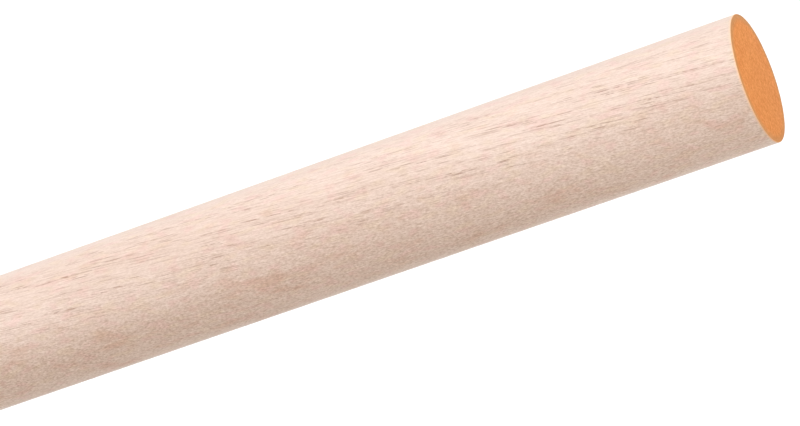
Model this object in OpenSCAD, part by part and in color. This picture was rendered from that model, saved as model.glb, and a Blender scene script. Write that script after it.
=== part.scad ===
// Round hardwood dowel rod with one painted end.
// The rod lies along X about its own middle, with the painted end at +X.

/* [Rod] */
// Diameter of the turned rod
rod_d = 25.4; // [6:0.1:50]
// Length over both ends, with the coat of paint
rod_len = 914.4; // [100:0.1:2400]
// Radius that sanding leaves on the edge of each sawn end
edge_r = 0.15; // [0.05:0.05:2]

/* [Painted end] */
// Thickness of the coat of paint on the end grain
coat_t = 0.1; // [0.05:0.01:0.5]

/* [Hidden] */
$fn = 96;

rod_r = rod_d / 2;
sawn_face_r = rod_r - edge_r;
wood_len = rod_len - coat_t;

// Half of the lengthwise section over wood and paint: a bar whose outer corners are rounded.
// The section's Y runs along the rod, from its plain end to its painted one.
module bar_section() {
    square([sawn_face_r, rod_len]);
    translate([0, edge_r])
        square([rod_r, rod_len - 2 * edge_r]);
    for (corner_y = [edge_r, rod_len - edge_r])
        translate([sawn_face_r, corner_y])
            circle(r = edge_r);
}

// Turns one length of that section about the rod's axis and lays it in place along X.
module turned_length(from_y, to_y) {
    translate([-rod_len / 2, 0, 0])
        rotate([0, 90, 0])
            rotate_extrude()
                intersection() {
                    bar_section();
                    translate([0, from_y])
                        square([rod_r, to_y - from_y]);
                }
}

// The wooden rod, turned in one piece, sawn square and lightly sanded at both ends.
module rod() {
    color("#EBD3C3")
        turned_length(0, wood_len);
}

// The coat of paint on one sawn face. It runs out over the rounded edge.
module end_paint() {
    color("#E8985A")
        turned_length(wood_len, rod_len);
}

rod();
end_paint();
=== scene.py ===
"""Round hardwood dowel rod with one painted end: its wood, its coat of paint, a plain stage and a camera."""

import math

import bpy
from mathutils import Matrix, Vector


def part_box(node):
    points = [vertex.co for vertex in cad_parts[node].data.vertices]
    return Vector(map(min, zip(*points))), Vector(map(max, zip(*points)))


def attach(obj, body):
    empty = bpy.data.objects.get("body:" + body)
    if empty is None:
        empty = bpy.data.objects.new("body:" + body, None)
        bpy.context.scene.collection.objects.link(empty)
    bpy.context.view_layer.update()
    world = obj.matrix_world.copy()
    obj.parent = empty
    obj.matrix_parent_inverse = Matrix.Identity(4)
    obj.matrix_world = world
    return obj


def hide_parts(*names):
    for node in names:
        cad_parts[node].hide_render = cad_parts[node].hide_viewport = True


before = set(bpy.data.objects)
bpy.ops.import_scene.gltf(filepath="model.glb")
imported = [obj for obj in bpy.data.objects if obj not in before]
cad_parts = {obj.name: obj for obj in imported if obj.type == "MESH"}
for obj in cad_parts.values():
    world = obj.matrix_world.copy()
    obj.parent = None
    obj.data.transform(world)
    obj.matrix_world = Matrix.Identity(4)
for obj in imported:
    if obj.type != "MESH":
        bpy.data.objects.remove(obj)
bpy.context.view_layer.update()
ROD_LOW, ROD_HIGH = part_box("rod")
PAINT_LOW, PAINT_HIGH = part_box("end_paint")
PAINTED_END = Vector((PAINT_HIGH.x, 0.0, 0.0))
MM = 0.001

bl_info = {
    "name": "Painted Dowel Rod",
    "version": (1, 0, 0),
    "blender": (4, 5, 0),
    "location": "View3D > Sidebar > Dowel",
    "description": "Models a round hardwood dowel rod with one painted end, and a stage to show it on",
    "category": "Add Mesh",
}


def linear(hex_colour):
    """Turns an sRGB colour such as "#E8985A" into the linear red, green and blue that Blender works in."""
    channels = [int(hex_colour[i : i + 2], 16) / 255 for i in (1, 3, 5)]
    return [c / 12.92 if c <= 0.04045 else ((c + 0.055) / 1.055) ** 2.4 for c in channels]


# ---------------------------------------------------------------- settings


class DowelRodSettings(bpy.types.PropertyGroup):
    """Sizes of the bar that the rod and its coat of paint are cut from. Its length comes from the frame."""

    diameter: bpy.props.FloatProperty(
        name="Diameter",
        description="Diameter of the turned rod",
        default=ROD_HIGH.z - ROD_LOW.z,
        min=6.0 * MM,
        unit="LENGTH",
    )
    edge_radius: bpy.props.FloatProperty(
        name="Edge Radius",
        description="Radius that sanding leaves on the edge of each sawn end",
        default=0.15 * MM,
        min=0.05 * MM,
        unit="LENGTH",
    )
    sides: bpy.props.IntProperty(
        name="Sides",
        description="Number of faces round the rod",
        default=144,
        min=24,
    )
    edge_steps: bpy.props.IntProperty(
        name="Edge Steps",
        description="Number of faces across each rounded edge",
        default=5,
        min=1,
    )


class DowelWoodSettings(bpy.types.PropertyGroup):
    """Colours and grain of the wood."""

    wood_colour: bpy.props.FloatVectorProperty(
        name="Wood",
        description="Colour of the sanded wood between its pores",
        default=linear("#EBD3C5"),
        subtype="COLOR",
        min=0.0,
        max=1.0,
    )
    pink_colour: bpy.props.FloatVectorProperty(
        name="Pink Tinge",
        description="Colour of the pinkish patches",
        default=linear("#EBC9BE"),
        subtype="COLOR",
        min=0.0,
        max=1.0,
    )
    straw_colour: bpy.props.FloatVectorProperty(
        name="Straw Tinge",
        description="Colour of the yellowish patches",
        default=linear("#EAD2B8"),
        subtype="COLOR",
        min=0.0,
        max=1.0,
    )
    # The brownish patches are partly the wood's own tone. Kept to the coarser, lower front side, they also
    # paint the warmer shade of that side.
    brown_and_shade_colour: bpy.props.FloatVectorProperty(
        name="Brown Tinge",
        description="Colour of the brownish patches on the coarser side",
        default=linear("#D8AA92"),
        subtype="COLOR",
        min=0.0,
        max=1.0,
    )
    pore_colour: bpy.props.FloatVectorProperty(
        name="Pores",
        description="Colour inside the pores",
        default=linear("#A26E55"),
        subtype="COLOR",
        min=0.0,
        max=1.0,
    )
    # Partly paint soaked into the wood, partly a painted highlight: this colour is lighter than the wood, as
    # where the rounded edge beside the coat catches the light.
    stain_and_highlight_colour: bpy.props.FloatVectorProperty(
        name="Stain",
        description="Colour of the wood where a little paint has soaked in beside the coat",
        default=linear("#FCD6B4"),
        subtype="COLOR",
        min=0.0,
        max=1.0,
    )
    end_shade: bpy.props.FloatVectorProperty(
        name="End Grain Shade",
        description="How much darker and warmer the bare sawn end is than the sides",
        default=(0.88, 0.79, 0.71),
        subtype="COLOR",
        min=0.0,
        max=1.0,
    )
    grain_tilt: bpy.props.FloatProperty(
        name="Grain Tilt",
        description="Angle between the grain and the rod's axis",
        default=math.radians(5.5),
        subtype="ANGLE",
    )
    flat_side: bpy.props.FloatProperty(
        name="Flat-Sawn Side",
        description="Where the growth rings lie along the surface, from the top round towards the front",
        default=math.radians(43.5),
        subtype="ANGLE",
    )
    # The band that this reaches over is partly soaked-in paint and partly a painted highlight.
    stain_and_highlight_reach: bpy.props.FloatProperty(
        name="Stain Reach",
        description="How far paint has soaked into the wood beside its coat",
        default=0.45 * MM,
        unit="LENGTH",
    )


class DowelPaintSettings(bpy.types.PropertyGroup):
    """Colours of the coat of paint, and how wide its edge is."""

    paint_colour: bpy.props.FloatVectorProperty(
        name="Paint",
        description="Colour of the coat of paint",
        default=linear("#D9823A"),
        subtype="COLOR",
        min=0.0,
        max=1.0,
    )
    thin_colour: bpy.props.FloatVectorProperty(
        name="Thin Paint",
        description="Colour of the coat where it lies thin",
        default=linear("#F2A15B"),
        subtype="COLOR",
        min=0.0,
        max=1.0,
    )
    rim_colour: bpy.props.FloatVectorProperty(
        name="Paint Rim",
        description="Colour of the paint that has gathered along the edge, most of all at the top",
        default=linear("#C6915F"),
        subtype="COLOR",
        min=0.0,
        max=1.0,
    )
    # The pale edge is partly wood showing through worn paint and partly a painted highlight where the rounded
    # edge catches the light.
    worn_and_highlight_colour: bpy.props.FloatVectorProperty(
        name="Worn Edge",
        description="Colour of the very edge, where the wood shows through the paint",
        default=linear("#F8CDA4"),
        subtype="COLOR",
        min=0.0,
        max=1.0,
    )
    rim_width: bpy.props.FloatProperty(
        name="Rim Width",
        description="How far in from the edge the gathered paint reaches",
        default=2.1 * MM,
        unit="LENGTH",
    )
    # This is also how wide the painted highlight on the rounded edge is.
    worn_and_highlight_width: bpy.props.FloatProperty(
        name="Worn Width",
        description="How far in from the edge the paint is worn",
        default=0.16 * MM,
        unit="LENGTH",
    )


class DowelStageSettings(bpy.types.PropertyGroup):
    """The floor and where the camera stands."""

    floor_drop: bpy.props.FloatProperty(
        name="Floor Drop",
        description="Distance from the rod down to the floor",
        default=250.0 * MM,
        unit="LENGTH",
    )
    floor_colour: bpy.props.FloatVectorProperty(
        name="Floor",
        description="Colour of the floor as it is seen",
        default=linear("#FCFCFC"),
        subtype="COLOR",
        min=0.0,
        max=1.0,
    )
    bounce_colour: bpy.props.FloatVectorProperty(
        name="Floor Bounce",
        description="Colour of the floor as it lights the rod from below",
        default=linear("#BEB3A6"),
        subtype="COLOR",
        min=0.0,
        max=1.0,
    )
    camera_lift: bpy.props.FloatProperty(
        name="Camera Lift",
        description="Angle by which the camera is raised about the rod's axis",
        default=math.radians(20.0),
        subtype="ANGLE",
    )
    camera_distance: bpy.props.FloatProperty(
        name="Camera Distance",
        description="Distance from the rod's axis to the camera",
        default=794.4 * MM,
        unit="LENGTH",
    )
    camera_past_end: bpy.props.FloatProperty(
        name="Camera Past End",
        description="How far the camera stands past the painted end",
        default=199.2 * MM,
        unit="LENGTH",
    )
    aim_before_end: bpy.props.FloatProperty(
        name="Aim Before End",
        description="How far the point that the camera looks at lies before the painted end",
        default=75.65 * MM,
        unit="LENGTH",
    )
    aim_below_axis: bpy.props.FloatProperty(
        name="Aim Below Axis",
        description="How far that point lies below the rod's axis, as the camera sees it",
        default=1.794 * MM,
        unit="LENGTH",
    )
    camera_roll: bpy.props.FloatProperty(
        name="Camera Roll",
        description="Angle by which the camera is turned about its line of sight",
        default=math.radians(-26.055),
        subtype="ANGLE",
    )
    camera_lens: bpy.props.FloatProperty(
        name="Lens",
        description="Focal length on a sensor 36 mm wide, in millimetres",
        default=196.42,
        min=1.0,
    )


# ---------------------------------------------------------------- materials


def add_node(tree, kind, settings=None, inputs=None):
    """Adds a node, sets its settings, sets or links its inputs, and returns its outputs."""
    node = tree.nodes.new(kind)
    for name, value in (settings or {}).items():
        setattr(node, name, value)
    for name, value in (inputs or {}).items():
        if isinstance(value, bpy.types.NodeSocket):
            tree.links.new(value, node.inputs[name])
        else:
            node.inputs[name].default_value = value
    return node.outputs


# Sockets of a Mix node that mixes colours, which share their names with its other sockets.
MIX_A, MIX_B, MIX_RESULT = 6, 7, 2


def new_tree(owner):
    """Gives a material or world an empty node tree."""
    owner.use_nodes = True
    owner.node_tree.nodes.clear()
    return owner.node_tree


def opaque(colour):
    """A colour with full alpha, as a node's colour input takes it."""
    return [*colour, 1.0]


def ring_directions(wood):
    """Across the rod: out from the pith of the tree, and round its growth rings."""
    out_from_pith = Vector((0.0, -math.sin(wood.flat_side), math.cos(wood.flat_side)))
    round_rings = Vector((0.0, -math.cos(wood.flat_side), -math.sin(wood.flat_side)))
    return out_from_pith, round_rings


def grain_rotation(wood):
    """Turns the rod's frame to the grain's: along the grain, out from the pith, and round the rings."""
    out_from_pith, round_rings = ring_directions(wood)
    along_rod = Vector((1.0, 0.0, 0.0))
    along_grain = math.cos(wood.grain_tilt) * along_rod + math.sin(wood.grain_tilt) * round_rings
    return Matrix((along_grain, out_from_pith, along_grain.cross(out_from_pith)))


# The grain wanders from its straight line over these lengths along and across it, by up to half this
# reach to each side, in millimetres.
WANDER_ALONG, WANDER_ACROSS, WANDER_REACH = 60.0, 20.0, 1.6

# The noise that colours the wood: the size of its blobs along the grain, out from the pith and round
# the rings in millimetres, its detail and its roughness. Board and band are slow changes of tone, ribbon
# the loose rows that the pores lie in, dash the breaks along a pore, vessel the finest lines, and speckle
# the short ends of fibres. Real fibres are a few hundredths of a millimetre wide, so the fibres and the
# speckle are drawn as bundles 0.2 mm wide, which is as coarse as they need to be to show.
WOOD_NOISE = {
    "board": ((260.0, 20.0, 20.0), 1.0, 0.5),
    "band": ((90.0, 5.0, 7.0), 1.0, 0.5),
    "ribbon": ((14.0, 1.2, 1.2), 1.0, 0.5),
    "dash": ((1.6, 0.5, 0.5), 1.0, 0.6),
    "vessel": ((17.0, 0.4, 0.16), 0.8, 0.5),
    "pink": ((3.0, 1.7, 1.7), 0.5, 0.5),
    "straw": ((3.6, 1.6, 1.6), 0.5, 0.5),
    "brown": ((8.0, 3.2, 3.2), 3.0, 0.65),
    "fibre": ((3.2, 0.2, 0.2), 1.5, 0.6),
    "speckle": ((0.65, 0.34, 0.2), 2.0, 0.65),
}

# How far each of these noises makes the wood lighter or darker, and how far the speckle does so on the
# finer side and on the coarser one.
TONE_REACH = {"board": 0.25, "band": 0.2, "ribbon": 0.08, "fibre": 0.41}
SPECKLE_REACH_FINE, SPECKLE_REACH_COARSE = 0.42, 1.4

# A side starts to be flat-sawn at the first of these shares of the radius, measured out from the rod's
# middle along the line from the pith, and is fully so at the second.
FLAT_FROM, FLAT_FULLY = 0.68, 0.97

# Darker wood is warmer too: its red falls least and its blue most.
TONE_PER_CHANNEL = (0.78, 1.05, 1.28)

# How much of its colour each tinge gives the wood at most. The brown one lies on the coarser, lower front
# side only, where it is partly the wood's own tone and partly painted shade.
PINK_MOST, STRAW_MOST, BROWN_AND_SHADE_MOST = 0.65, 0.4, 0.6

# The pores: how long they run, how far apart they lie and how wide they are in millimetres, the share of
# them that is dark, and where their pattern starts.
PORE_SETS = {
    "long": {"run": 40.0, "spacing": 0.42, "width": 0.16, "share": 0.8, "start": 0.0},
    "short": {"run": 10.0, "spacing": 0.36, "width": 0.14, "share": 0.85, "start": 17.0},
}

# The centre of the saw blade that cut the bare end, and how far apart it left its marks.
BLADE_CENTRE = (ROD_LOW.x, 60.0 * MM, -110.0 * MM)
BLADE_MARK = 0.9 * MM

# How far fibres and the blade's marks rise and how deep pores go, in millimetres.
FIBRE_RISE, BLADE_RISE, PORE_DEPTH = 0.02, 0.05, 0.06


def add_grain_space(tree, wood):
    """The grain's own space in millimetres, for a grain that wanders a little from its straight line."""
    place = add_node(tree, "ShaderNodeTexCoord")["Object"]
    straight = add_node(
        tree,
        "ShaderNodeMapping",
        inputs={"Vector": place, "Rotation": grain_rotation(wood).to_euler(), "Scale": [1 / MM] * 3},
    )["Vector"]
    slow = add_node(
        tree,
        "ShaderNodeMapping",
        inputs={"Vector": straight, "Scale": (1 / WANDER_ALONG, 1 / WANDER_ACROSS, 1 / WANDER_ACROSS)},
    )["Vector"]
    wander = add_node(
        tree, "ShaderNodeTexNoise", inputs={"Vector": slow, "Scale": 1.0, "Detail": 1.5}
    )["Color"]
    shift = add_node(
        tree,
        "ShaderNodeVectorMath",
        {"operation": "MULTIPLY_ADD"},
        {
            0: wander,
            1: (0.0, WANDER_REACH, WANDER_REACH),
            2: (0.0, -WANDER_REACH / 2, -WANDER_REACH / 2),
        },
    )["Vector"]
    return add_node(tree, "ShaderNodeVectorMath", {"operation": "ADD"}, {0: straight, 1: shift})["Vector"]


def add_wood_noise(tree, grain):
    """Every noise of WOOD_NOISE, by its name."""
    noise = {}
    for name, (blob, detail, roughness) in WOOD_NOISE.items():
        stretched = add_node(
            tree, "ShaderNodeMapping", inputs={"Vector": grain, "Scale": [1 / size for size in blob]}
        )["Vector"]
        noise[name] = add_node(
            tree,
            "ShaderNodeTexNoise",
            inputs={"Vector": stretched, "Scale": 1.0, "Detail": detail, "Roughness": roughness},
        )["Fac"]
    return noise


def add_sides(tree, wood, radius):
    """Masks of the flat-sawn sides, where the growth rings lie along the surface, and of the coarser, lower
    front side, where the brownish patches also paint shade.
    """
    place = add_node(tree, "ShaderNodeTexCoord")["Object"]
    out_from_pith, round_rings = (
        add_node(
            tree, "ShaderNodeVectorMath", {"operation": "DOT_PRODUCT"}, {0: place, 1: direction}
        )["Value"]
        for direction in ring_directions(wood)
    )
    depth = add_node(tree, "ShaderNodeMath", {"operation": "ABSOLUTE"}, {0: out_from_pith})["Value"]
    flat_sawn = add_node(
        tree,
        "ShaderNodeMapRange",
        {"interpolation_type": "SMOOTHSTEP"},
        {"Value": depth, "From Min": FLAT_FROM * radius, "From Max": FLAT_FULLY * radius},
    )["Result"]
    coarse = add_node(
        tree,
        "ShaderNodeMapRange",
        inputs={"Value": round_rings, "From Min": 0.0, "From Max": radius},
    )["Result"]
    return {"flat-sawn": flat_sawn, "coarse": coarse}


def add_pores(tree, grain, run, spacing, width, share, start):
    """A mask of pores: thin spindles in the wood, which its surface cuts into dashes."""
    cell = add_node(
        tree,
        "ShaderNodeMapping",
        inputs={"Vector": grain, "Location": [start] * 3, "Scale": (1 / run, 1 / spacing, 1 / spacing)},
    )["Vector"]
    spindle = add_node(
        tree, "ShaderNodeTexVoronoi", {"feature": "F1"}, {"Vector": cell, "Scale": 1.0, "Randomness": 1.0}
    )
    radius = width / 2 / spacing
    core = add_node(
        tree,
        "ShaderNodeMapRange",
        {"interpolation_type": "SMOOTHSTEP"},
        {
            "Value": spindle["Distance"],
            "From Min": radius * 0.5,
            "From Max": radius * 1.4,
            "To Min": 1.0,
            "To Max": 0.0,
        },
    )["Result"]
    chance = add_node(tree, "ShaderNodeSeparateColor", inputs={"Color": spindle["Color"]})["Red"]
    dark = add_node(
        tree,
        "ShaderNodeMapRange",
        {"interpolation_type": "SMOOTHSTEP"},
        {"Value": chance, "From Min": 1 - share, "From Max": 1 - share + 0.4},
    )["Result"]
    return add_node(tree, "ShaderNodeMath", {"operation": "MULTIPLY"}, {0: core, 1: dark})["Value"]


def add_dashes(tree, grain, noise, open_grain):
    """A mask of both sets of pores and of the finest lines, broken into dashes and gathered in loose rows."""
    broken = add_node(
        tree,
        "ShaderNodeMapRange",
        {"interpolation_type": "SMOOTHSTEP"},
        {"Value": noise["dash"], "From Min": 0.42, "From Max": 0.56},
    )["Result"]
    long_pores = add_node(
        tree,
        "ShaderNodeMath",
        {"operation": "MULTIPLY"},
        {0: add_pores(tree, grain, **PORE_SETS["long"]), 1: broken},
    )["Value"]
    pores = add_node(
        tree,
        "ShaderNodeMath",
        {"operation": "MAXIMUM"},
        {0: long_pores, 1: add_pores(tree, grain, **PORE_SETS["short"])},
    )["Value"]
    lines = add_node(
        tree,
        "ShaderNodeMapRange",
        {"interpolation_type": "SMOOTHSTEP"},
        {"Value": noise["vessel"], "From Min": 0.44, "From Max": 0.35, "To Max": 0.75},
    )["Result"]
    half_broken = add_node(
        tree, "ShaderNodeMapRange", inputs={"Value": broken, "To Min": 0.25, "To Max": 0.9}
    )["Result"]
    lines = add_node(tree, "ShaderNodeMath", {"operation": "MULTIPLY"}, {0: lines, 1: half_broken})["Value"]
    pores = add_node(tree, "ShaderNodeMath", {"operation": "MAXIMUM"}, {0: pores, 1: lines})["Value"]
    rows = add_node(
        tree,
        "ShaderNodeMapRange",
        {"interpolation_type": "SMOOTHSTEP"},
        {"Value": noise["ribbon"], "From Min": 0.62, "From Max": 0.4, "To Min": 0.45, "To Max": 1.0},
    )["Result"]
    showing = add_node(
        tree, "ShaderNodeMapRange", inputs={"Value": open_grain, "To Min": 0.12, "To Max": 1.0}
    )["Result"]
    in_rows = add_node(tree, "ShaderNodeMath", {"operation": "MULTIPLY"}, {0: pores, 1: rows})["Value"]
    return add_node(tree, "ShaderNodeMath", {"operation": "MULTIPLY"}, {0: in_rows, 1: showing})["Value"]


def add_wood_tone(tree, noise, sides):
    """How light the wood is from place to place, around one, for each of red, green and blue."""
    speckle_reach = add_node(
        tree,
        "ShaderNodeMapRange",
        inputs={"Value": sides["coarse"], "To Min": SPECKLE_REACH_FINE, "To Max": SPECKLE_REACH_COARSE},
    )["Result"]
    tone = 0.0
    for name, reach in {**TONE_REACH, "speckle": speckle_reach}.items():
        swing = add_node(tree, "ShaderNodeMath", {"operation": "SUBTRACT"}, {0: noise[name], 1: 0.5})["Value"]
        tone = add_node(
            tree, "ShaderNodeMath", {"operation": "MULTIPLY_ADD"}, {0: swing, 1: reach, 2: tone}
        )["Value"]
    return add_node(
        tree,
        "ShaderNodeVectorMath",
        {"operation": "MULTIPLY_ADD"},
        {0: tone, 1: TONE_PER_CHANNEL, 2: (1.0, 1.0, 1.0)},
    )["Vector"]


def add_tinges(tree, noise, sides, wood):
    """The wood's colour between its pores, with its pinkish, yellowish and brownish patches. The brownish
    ones lie on the lower front side only, where they are partly painted shade.
    """
    # The brownish patches lie on the lower front side only, where they are partly painted shade.
    brown_and_shade_most = add_node(
        tree, "ShaderNodeMath", {"operation": "MULTIPLY"}, {0: sides["coarse"], 1: BROWN_AND_SHADE_MOST}
    )["Value"]
    colour = opaque(wood.wood_colour)
    for name, tinge, most in (
        ("pink", wood.pink_colour, PINK_MOST),
        ("straw", wood.straw_colour, STRAW_MOST),
        ("brown", wood.brown_and_shade_colour, brown_and_shade_most),
    ):
        amount = add_node(
            tree,
            "ShaderNodeMapRange",
            {"interpolation_type": "SMOOTHSTEP"},
            {"Value": noise[name], "From Min": 0.5, "From Max": 0.75, "To Max": most},
        )["Result"]
        colour = add_node(
            tree,
            "ShaderNodeMix",
            {"data_type": "RGBA"},
            {"Factor": amount, MIX_A: colour, MIX_B: opaque(tinge)},
        )[MIX_RESULT]
    return colour


def add_sawn_end(tree):
    """A mask of the bare sawn end, and the blade's marks across it, which are arcs of a large circle."""
    place = add_node(tree, "ShaderNodeTexCoord")["Object"]
    along = add_node(tree, "ShaderNodeSeparateXYZ", inputs={"Vector": place})["X"]
    end = add_node(
        tree,
        "ShaderNodeMapRange",
        {"interpolation_type": "SMOOTHSTEP"},
        {
            "Value": along,
            "From Min": ROD_LOW.x + 0.02 * MM,
            "From Max": ROD_LOW.x + 0.15 * MM,
            "To Min": 1.0,
            "To Max": 0.0,
        },
    )["Result"]
    from_blade = add_node(
        tree, "ShaderNodeVectorMath", {"operation": "DISTANCE"}, {0: place, 1: BLADE_CENTRE}
    )["Value"]
    marks = add_node(
        tree,
        "ShaderNodeTexNoise",
        {"noise_dimensions": "1D"},
        {"W": from_blade, "Scale": 1 / BLADE_MARK, "Detail": 2.0},
    )["Fac"]
    return end, marks


def add_paint_stain_and_highlight(tree, noise, wood):
    """A mask of the wood beside the coat: where paint has soaked in unevenly, and where a painted highlight
    stands for the light that the rounded edge catches.
    """
    place = add_node(tree, "ShaderNodeTexCoord")["Object"]
    along = add_node(tree, "ShaderNodeSeparateXYZ", inputs={"Vector": place})["X"]
    unevenness = 0.3 * MM
    uneven = add_node(
        tree,
        "ShaderNodeMath",
        {"operation": "MULTIPLY_ADD"},
        {0: noise["speckle"], 1: unevenness, 2: -unevenness / 2},
    )["Value"]
    reached = add_node(tree, "ShaderNodeMath", {"operation": "ADD"}, {0: along, 1: uneven})["Value"]
    return add_node(
        tree,
        "ShaderNodeMapRange",
        {"interpolation_type": "SMOOTHSTEP"},
        {"Value": reached, "From Min": ROD_HIGH.x - wood.stain_and_highlight_reach, "From Max": ROD_HIGH.x, "To Max": 0.9},
    )["Result"]


def sanded_rubberwood(wood, radius):
    """The rod's wood, as one solid block of grain that the rod is turned from."""
    # Rubberwood, turned and sanded: it is pale, pinkish and almost matte. Its open pores show as fine brown
    # dashes where the surface runs along the growth rings, and its fibres as flecks where they dive into it.
    material = bpy.data.materials.new("rubberwood, turned and sanded")
    tree = new_tree(material)
    grain = add_grain_space(tree, wood)
    noise = add_wood_noise(tree, grain)
    sides = add_sides(tree, wood, radius)
    sawn, marks = add_sawn_end(tree)
    open_grain = add_node(
        tree, "ShaderNodeMath", {"operation": "MAXIMUM"}, {0: sides["flat-sawn"], 1: sawn}
    )["Value"]
    pores = add_dashes(tree, grain, noise, open_grain)

    colour = add_node(
        tree,
        "ShaderNodeVectorMath",
        {"operation": "MULTIPLY"},
        {0: add_tinges(tree, noise, sides, wood), 1: add_wood_tone(tree, noise, sides)},
    )["Vector"]
    # A paler, more orange band beside the coat: partly soaked-in paint, partly a painted highlight of the
    # rounded edge.
    stained_and_highlit = add_paint_stain_and_highlight(tree, noise, wood)
    colour = add_node(
        tree,
        "ShaderNodeMix",
        {"data_type": "RGBA"},
        {"Factor": stained_and_highlit, MIX_A: colour, MIX_B: opaque(wood.stain_and_highlight_colour)},
    )[MIX_RESULT]
    pore_shade = add_node(tree, "ShaderNodeMath", {"operation": "MULTIPLY"}, {0: pores, 1: 0.8})["Value"]
    colour = add_node(
        tree,
        "ShaderNodeMix",
        {"data_type": "RGBA"},
        {"Factor": pore_shade, MIX_A: colour, MIX_B: opaque(wood.pore_colour)},
    )[MIX_RESULT]

    mark_tone = add_node(
        tree,
        "ShaderNodeMapRange",
        inputs={"Value": marks, "From Min": 0.3, "From Max": 0.7, "To Min": 0.86, "To Max": 1.06},
    )["Result"]
    end_colour = add_node(
        tree,
        "ShaderNodeVectorMath",
        {"operation": "MULTIPLY"},
        {0: colour, 1: wood.end_shade},
    )["Vector"]
    end_colour = add_node(
        tree, "ShaderNodeVectorMath", {"operation": "SCALE"}, {0: end_colour, "Scale": mark_tone}
    )["Vector"]
    colour = add_node(
        tree, "ShaderNodeMix", {"data_type": "RGBA"}, {"Factor": sawn, MIX_A: colour, MIX_B: end_colour}
    )[MIX_RESULT]

    rise = add_node(
        tree, "ShaderNodeMath", {"operation": "MULTIPLY"}, {0: noise["fibre"], 1: FIBRE_RISE}
    )["Value"]
    rise = add_node(
        tree, "ShaderNodeMath", {"operation": "MULTIPLY_ADD"}, {0: pores, 1: -PORE_DEPTH, 2: rise}
    )["Value"]
    end_marks = add_node(tree, "ShaderNodeMath", {"operation": "MULTIPLY"}, {0: marks, 1: sawn})["Value"]
    rise = add_node(
        tree, "ShaderNodeMath", {"operation": "MULTIPLY_ADD"}, {0: end_marks, 1: BLADE_RISE, 2: rise}
    )["Value"]
    normal = add_node(
        tree, "ShaderNodeBump", inputs={"Height": rise, "Distance": MM, "Strength": 0.6}
    )["Normal"]
    roughness = add_node(
        tree,
        "ShaderNodeMapRange",
        inputs={"Value": noise["fibre"], "From Min": 0.3, "From Max": 0.7, "To Min": 0.36, "To Max": 0.48},
    )["Result"]
    roughness = add_node(
        tree, "ShaderNodeMath", {"operation": "MULTIPLY_ADD"}, {0: pores, 1: 0.25, 2: roughness}
    )["Value"]
    shader = add_node(
        tree,
        "ShaderNodeBsdfPrincipled",
        inputs={
            "Base Color": colour,
            "Roughness": roughness,
            "Specular IOR Level": 0.5,
            "Sheen Weight": 0.25,
            "Sheen Roughness": 0.4,
            "Normal": normal,
        },
    )["BSDF"]
    add_node(tree, "ShaderNodeOutputMaterial", inputs={"Surface": shader})
    return material


def matte_craft_paint(paint, radius):
    """The coat on the rod's end, from its middle out to its pale edge, which is partly worn and partly a
    painted highlight.
    """
    # Matte acrylic craft paint, brushed on end grain: it is a flat orange with no gloss, and a fine grit
    # shows where the open grain takes it up unevenly. It has gathered and dulled along the edge. Its very
    # edge is pale: partly worn so that the wood shows, partly a painted highlight where the rounded edge
    # catches the light.
    material = bpy.data.materials.new("matte acrylic paint, brushed on end grain")
    tree = new_tree(material)
    place = add_node(tree, "ShaderNodeTexCoord")["Object"]
    # Real pores under the paint are 0.15 to 0.25 mm wide, and the grit is drawn coarser so that it shows.
    grit_size = 0.5 * MM
    grit = add_node(
        tree,
        "ShaderNodeTexNoise",
        inputs={"Vector": place, "Scale": 1 / grit_size, "Detail": 1.5, "Roughness": 0.6},
    )["Fac"]
    thinness = add_node(
        tree, "ShaderNodeMapRange", inputs={"Value": grit, "From Min": 0.3, "From Max": 0.7}
    )["Result"]
    colour = add_node(
        tree,
        "ShaderNodeMix",
        {"data_type": "RGBA"},
        {"Factor": thinness, MIX_A: opaque(paint.paint_colour), MIX_B: opaque(paint.thin_colour)},
    )[MIX_RESULT]
    from_axis = add_node(
        tree, "ShaderNodeVectorMath", {"operation": "DISTANCE"}, {0: place, 1: PAINTED_END}
    )["Value"]
    height = add_node(tree, "ShaderNodeSeparateXYZ", inputs={"Vector": place})["Z"]
    gathered = add_node(
        tree,
        "ShaderNodeMapRange",
        inputs={"Value": height, "From Min": -radius, "From Max": radius, "To Min": 0.55, "To Max": 0.85},
    )["Result"]
    # The second pass paints the pale edge: partly worn paint, partly a painted highlight on the rounded edge.
    for width, most, edge_colour in (
        (paint.rim_width, gathered, paint.rim_colour),
        (paint.worn_and_highlight_width, 0.9, paint.worn_and_highlight_colour),
    ):
        at_edge = add_node(
            tree,
            "ShaderNodeMapRange",
            {"interpolation_type": "SMOOTHSTEP"},
            {"Value": from_axis, "From Min": radius - width, "From Max": radius, "To Max": most},
        )["Result"]
        colour = add_node(
            tree,
            "ShaderNodeMix",
            {"data_type": "RGBA"},
            {"Factor": at_edge, MIX_A: colour, MIX_B: opaque(edge_colour)},
        )[MIX_RESULT]
    normal = add_node(
        tree, "ShaderNodeBump", inputs={"Height": grit, "Distance": 0.05 * MM, "Strength": 0.5}
    )["Normal"]
    shader = add_node(
        tree,
        "ShaderNodeBsdfPrincipled",
        inputs={"Base Color": colour, "Roughness": 0.75, "Specular IOR Level": 0.3, "Normal": normal},
    )["BSDF"]
    add_node(tree, "ShaderNodeOutputMaterial", inputs={"Surface": shader})
    return material


# ---------------------------------------------------------------- pieces


def start_piece(name, add_primitive, **options):
    """Adds a primitive with nothing else selected, names it, and puts its place into its mesh."""
    bpy.ops.object.select_all(action="DESELECT")
    add_primitive(**options)
    piece = bpy.context.active_object
    piece.name = name
    piece.data.name = name
    bpy.ops.object.transform_apply(location=True, rotation=True, scale=True)
    return piece


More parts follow.
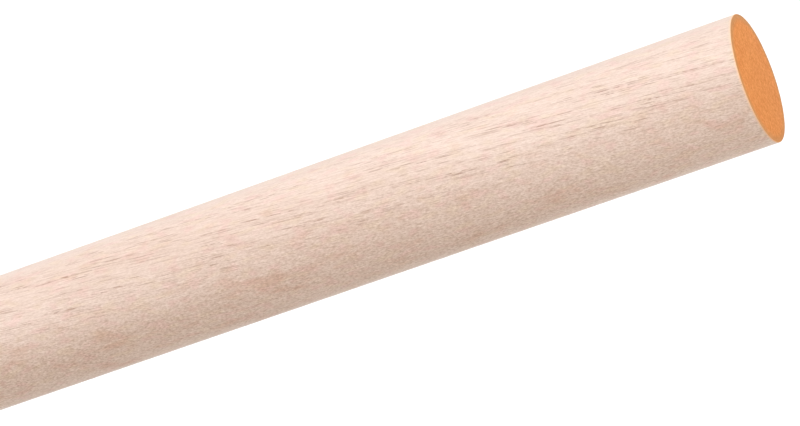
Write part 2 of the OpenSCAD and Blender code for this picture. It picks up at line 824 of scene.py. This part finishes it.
def turned_bar(name, rod):
    """The whole bar over wood and paint, sawn square, with both its edges rounded."""
    low, high = ROD_LOW.x, PAINT_HIGH.x
    bar = start_piece(
        name,
        bpy.ops.mesh.primitive_cylinder_add,
        vertices=rod.sides,
        radius=rod.diameter / 2,
        depth=high - low,
        location=((high + low) / 2, 0.0, 0.0),
        rotation=(0.0, math.pi / 2, 0.0),
    )
    bpy.ops.object.mode_set(mode="EDIT")
    bpy.ops.mesh.select_all(action="DESELECT")
    bpy.ops.mesh.select_mode(type="EDGE")
    bpy.ops.object.mode_set(mode="OBJECT")
    vertices = bar.data.vertices
    # All edges run along the bar but for the ring at each end, and those two are rounded.
    for edge in bar.data.edges:
        start, end = (vertices[i].co.x for i in edge.vertices)
        edge.select = abs(start - end) < MM
    bpy.ops.object.mode_set(mode="EDIT")
    bpy.ops.mesh.bevel(offset=rod.edge_radius, segments=rod.edge_steps, profile=0.5)
    bpy.ops.object.mode_set(mode="OBJECT")
    return bar


def cut_square(at_x, **options):
    """Cuts the bar that was just made at a place along it. Without options it only gets a ring of edges."""
    bpy.ops.object.mode_set(mode="EDIT")
    bpy.ops.mesh.select_all(action="SELECT")
    bpy.ops.mesh.bisect(
        plane_co=(at_x, 0.0, 0.0), plane_no=(1.0, 0.0, 0.0), threshold=0.001 * MM, **options
    )
    bpy.ops.object.mode_set(mode="OBJECT")


def angle_round(place):
    """Angle round the rod's axis from its top, so that it jumps on the underside."""
    return math.atan2(place.y, place.z)


# How each piece's surface is laid out flat: its side in rows, each with the part of the length that it
# takes, and its two ends. A row or an end has its left, bottom, width and height as shares of the map.
# A long rod goes in two rows, so that the grain is drawn as finely as the map allows.
ROD_MAP = {
    "rows": {(0.0, 0.5): (0.004, 0.004, 0.992, 0.44), (0.5, 1.0): (0.004, 0.45, 0.992, 0.44)},
    "low end": (0.004, 0.896, 0.1, 0.1),
    "high end": (0.12, 0.896, 0.1, 0.1),
}
PAINT_MAP = {
    "rows": {(0.0, 1.0): (0.944, 0.004, 0.052, 0.992)},
    "low end": (0.004, 0.004, 0.05, 0.05),
    "high end": (0.004, 0.066, 0.93, 0.93),
}


def lay_out_map(piece, layout):
    """Gives the piece a UV map that lays its surface out flat, with the seam of its side underneath."""
    mesh = piece.data
    places = [vertex.co for vertex in mesh.vertices]
    low, high = min(place.x for place in places), max(place.x for place in places)
    widest = max(place.z for place in places)
    uv_layer = mesh.uv_layers[0]
    uv_layer.name = "OFBake"
    for face in mesh.polygons:
        # The rounded edges turn away from the side, and are laid out with the ends.
        on_side = abs(face.normal.x) < 0.3
        share = (face.center.x - low) / (high - low)
        for loop in face.loop_indices:
            place = places[mesh.loops[loop].vertex_index]
            if on_side:
                (start, end), box = next(
                    (part, box) for part, box in layout["rows"].items() if share <= part[1]
                )
                along = ((place.x - low) / (high - low) - start) / (end - start)
                middle = angle_round(face.center)
                turn = angle_round(place)
                turn += math.tau * round((middle - turn) / math.tau)
                flat = (along, 0.5 + turn / math.tau)
            else:
                box = layout["high end" if face.normal.x > 0 else "low end"]
                flat = (0.5 + place.y / widest / 2, 0.5 + place.z / widest / 2)
            left, bottom, width, height = box
            uv_layer.data[loop].uv = (left + flat[0] * width, bottom + flat[1] * height)


class DOWEL_OT_add_rod(bpy.types.Operator):
    """Models the turned rod and gives it its wood"""

    bl_idname = "dowel.add_rod"
    bl_label = "Add Wooden Rod"
    bl_options = {"REGISTER", "UNDO"}

    def execute(self, context):
        rod = context.scene.dowel_rod
        piece = turned_bar("wooden_rod", rod)
        cut_square(ROD_HIGH.x, use_fill=True, clear_outer=True)
        cut_square((ROD_LOW.x + ROD_HIGH.x) / 2)
        lay_out_map(piece, ROD_MAP)
        piece.data.materials.append(sanded_rubberwood(context.scene.dowel_wood, rod.diameter / 2))
        bpy.ops.object.shade_smooth_by_angle(angle=math.radians(50.0))
        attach(piece, "root")
        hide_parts("rod")
        return {"FINISHED"}


class DOWEL_OT_add_end_paint(bpy.types.Operator):
    """Models the coat of paint on one sawn end"""

    bl_idname = "dowel.add_end_paint"
    bl_label = "Add Painted End"
    bl_options = {"REGISTER", "UNDO"}

    def execute(self, context):
        rod = context.scene.dowel_rod
        piece = turned_bar("end_paint_coat", rod)
        cut_square(PAINT_LOW.x, use_fill=True, clear_inner=True)
        lay_out_map(piece, PAINT_MAP)
        piece.data.materials.append(matte_craft_paint(context.scene.dowel_paint, rod.diameter / 2))
        bpy.ops.object.shade_smooth_by_angle(angle=math.radians(50.0))
        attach(piece, "root")
        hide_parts("end_paint")
        return {"FINISHED"}


# The softboxes that are so far away that each lights the whole rod alike: the direction in which each one
# stands and how strong it is, and the angle across either of them as the rod sees it.
FAR_SOFTBOXES = {
    "front softbox": ((0.25, -0.48, 0.84), 2.26),
    "rear softbox": ((0.25, 0.48, 0.84), 0.89),
}
FAR_SOFTBOX_WIDTH = math.radians(60.0)

# The round softbox that faces the painted end: where it stands from that end, its width and its power.
END_SOFTBOX_PLACE = Vector((500.0 * MM, -150.0 * MM, -50.0 * MM))
END_SOFTBOX_WIDTH = 400.0 * MM
END_SOFTBOX_POWER = 0.77

# How strongly the white studio itself lights the rod. What the camera sees of it has a strength of one.
STUDIO_STRENGTH = 0.25

# The floor is wide enough to fill every view, and a little light of its own takes it from nearly white to
# white for the camera.
FLOOR_WIDTH = 80.0
FLOOR_GLOW = 0.1


class DOWEL_OT_add_stage(bpy.types.Operator):
    """Adds the floor, the light and the camera"""

    bl_idname = "dowel.add_stage"
    bl_label = "Add Stage"
    bl_options = {"REGISTER", "UNDO"}

    def execute(self, context):
        stage = context.scene.dowel_stage
        self.add_floor(stage)
        self.add_light(context)
        self.add_camera(context, stage)
        context.scene.view_settings.view_transform = "Standard"
        return {"FINISHED"}

    def add_floor(self, stage):
        floor = start_piece(
            "floor",
            bpy.ops.mesh.primitive_plane_add,
            size=FLOOR_WIDTH,
            location=(0.0, 0.0, ROD_LOW.z - stage.floor_drop),
        )
        material = bpy.data.materials.new("pale studio card")
        tree = new_tree(material)
        seen = self.add_seen(tree)
        colour = add_node(
            tree,
            "ShaderNodeMix",
            {"data_type": "RGBA"},
            {"Factor": seen, MIX_A: opaque(stage.bounce_colour), MIX_B: opaque(stage.floor_colour)},
        )[MIX_RESULT]
        card = add_node(tree, "ShaderNodeBsdfDiffuse", inputs={"Color": colour})["BSDF"]
        glow = add_node(tree, "ShaderNodeMath", {"operation": "MULTIPLY"}, {0: seen, 1: FLOOR_GLOW})["Value"]
        white = add_node(tree, "ShaderNodeEmission", inputs={"Strength": glow})["Emission"]
        lit = add_node(tree, "ShaderNodeAddShader", inputs={0: card, 1: white})["Shader"]
        add_node(tree, "ShaderNodeOutputMaterial", inputs={"Surface": lit})
        floor.data.materials.append(material)

    def add_seen(self, tree):
        """One for a ray that shows the background itself, and nothing for one that lights the object."""
        rays = add_node(tree, "ShaderNodeLightPath")
        straight = add_node(
            tree,
            "ShaderNodeMath",
            {"operation": "MAXIMUM"},
            {0: rays["Is Camera Ray"], 1: rays["Is Glossy Ray"]},
        )["Value"]
        return add_node(
            tree, "ShaderNodeMath", {"operation": "MAXIMUM"}, {0: straight, 1: rays["Is Transmission Ray"]}
        )["Value"]

    def add_light(self, context):
        world = bpy.data.worlds.new("white studio")
        context.scene.world = world
        tree = new_tree(world)
        brightness = add_node(
            tree,
            "ShaderNodeMapRange",
            inputs={"Value": self.add_seen(tree), "To Min": STUDIO_STRENGTH, "To Max": 1.0},
        )["Result"]
        glow = add_node(
            tree, "ShaderNodeBackground", inputs={"Color": (1.0, 1.0, 1.0, 1.0), "Strength": brightness}
        )["Background"]
        add_node(tree, "ShaderNodeOutputWorld", inputs={"Surface": glow})

        for name, (to_light, strength) in FAR_SOFTBOXES.items():
            softbox = bpy.data.lights.new(name, "SUN")
            softbox.energy = strength
            softbox.angle = FAR_SOFTBOX_WIDTH
            far_away = bpy.data.objects.new(name, softbox)
            far_away.rotation_euler = Vector(to_light).to_track_quat("Z", "Y").to_euler()
            context.scene.collection.objects.link(far_away)

        softbox = bpy.data.lights.new("end softbox", "AREA")
        softbox.shape = "DISK"
        softbox.size = END_SOFTBOX_WIDTH
        softbox.energy = END_SOFTBOX_POWER
        near_end = bpy.data.objects.new("end softbox", softbox)
        near_end.location = PAINTED_END + END_SOFTBOX_PLACE
        near_end.rotation_euler = (-END_SOFTBOX_PLACE).to_track_quat("-Z", "Y").to_euler()
        context.scene.collection.objects.link(near_end)

    def add_camera(self, context, stage):
        lens = bpy.data.cameras.new("camera")
        lens.lens = stage.camera_lens
        lens.sensor_width = 36.0
        camera = bpy.data.objects.new("camera", lens)
        from_axis = Vector((0.0, -math.cos(stage.camera_lift), math.sin(stage.camera_lift)))
        below = Vector((0.0, -math.sin(stage.camera_lift), -math.cos(stage.camera_lift)))
        beside_end = PAINTED_END + Vector((stage.camera_past_end, 0.0, 0.0))
        camera.location = beside_end + stage.camera_distance * from_axis
        aim = PAINTED_END - Vector((stage.aim_before_end, 0.0, 0.0)) + stage.aim_below_axis * below
        look = (aim - camera.location).to_track_quat("-Z", "Y").to_matrix()
        camera.rotation_euler = (look @ Matrix.Rotation(stage.camera_roll, 3, "Z")).to_euler()
        context.scene.collection.objects.link(camera)
        context.scene.camera = camera


class DOWEL_PT_sidebar(bpy.types.Panel):
    """The dowel rod's sizes, colours and pieces"""

    bl_idname = "DOWEL_PT_sidebar"
    bl_label = "Painted Dowel Rod"
    bl_space_type = "VIEW_3D"
    bl_region_type = "UI"
    bl_category = "Dowel"

    def draw(self, context):
        for settings in SETTINGS:
            group = getattr(context.scene, settings)
            for name in group.__annotations__:
                self.layout.prop(group, name)
        for operator in (DOWEL_OT_add_rod, DOWEL_OT_add_end_paint, DOWEL_OT_add_stage):
            self.layout.operator(operator.bl_idname)


CLASSES = (
    DowelRodSettings,
    DowelWoodSettings,
    DowelPaintSettings,
    DowelStageSettings,
    DOWEL_OT_add_rod,
    DOWEL_OT_add_end_paint,
    DOWEL_OT_add_stage,
    DOWEL_PT_sidebar,
)
SETTINGS = {
    "dowel_rod": DowelRodSettings,
    "dowel_wood": DowelWoodSettings,
    "dowel_paint": DowelPaintSettings,
    "dowel_stage": DowelStageSettings,
}


def register():
    for cls in CLASSES:
        bpy.utils.register_class(cls)
    for name, group in SETTINGS.items():
        setattr(bpy.types.Scene, name, bpy.props.PointerProperty(type=group))


def unregister():
    for name in SETTINGS:
        delattr(bpy.types.Scene, name)
    for cls in reversed(CLASSES):
        bpy.utils.unregister_class(cls)


def main():
    register()
    bpy.ops.dowel.add_rod()
    bpy.ops.dowel.add_end_paint()
    bpy.ops.dowel.add_stage()


if __name__ == "__main__":
    main()
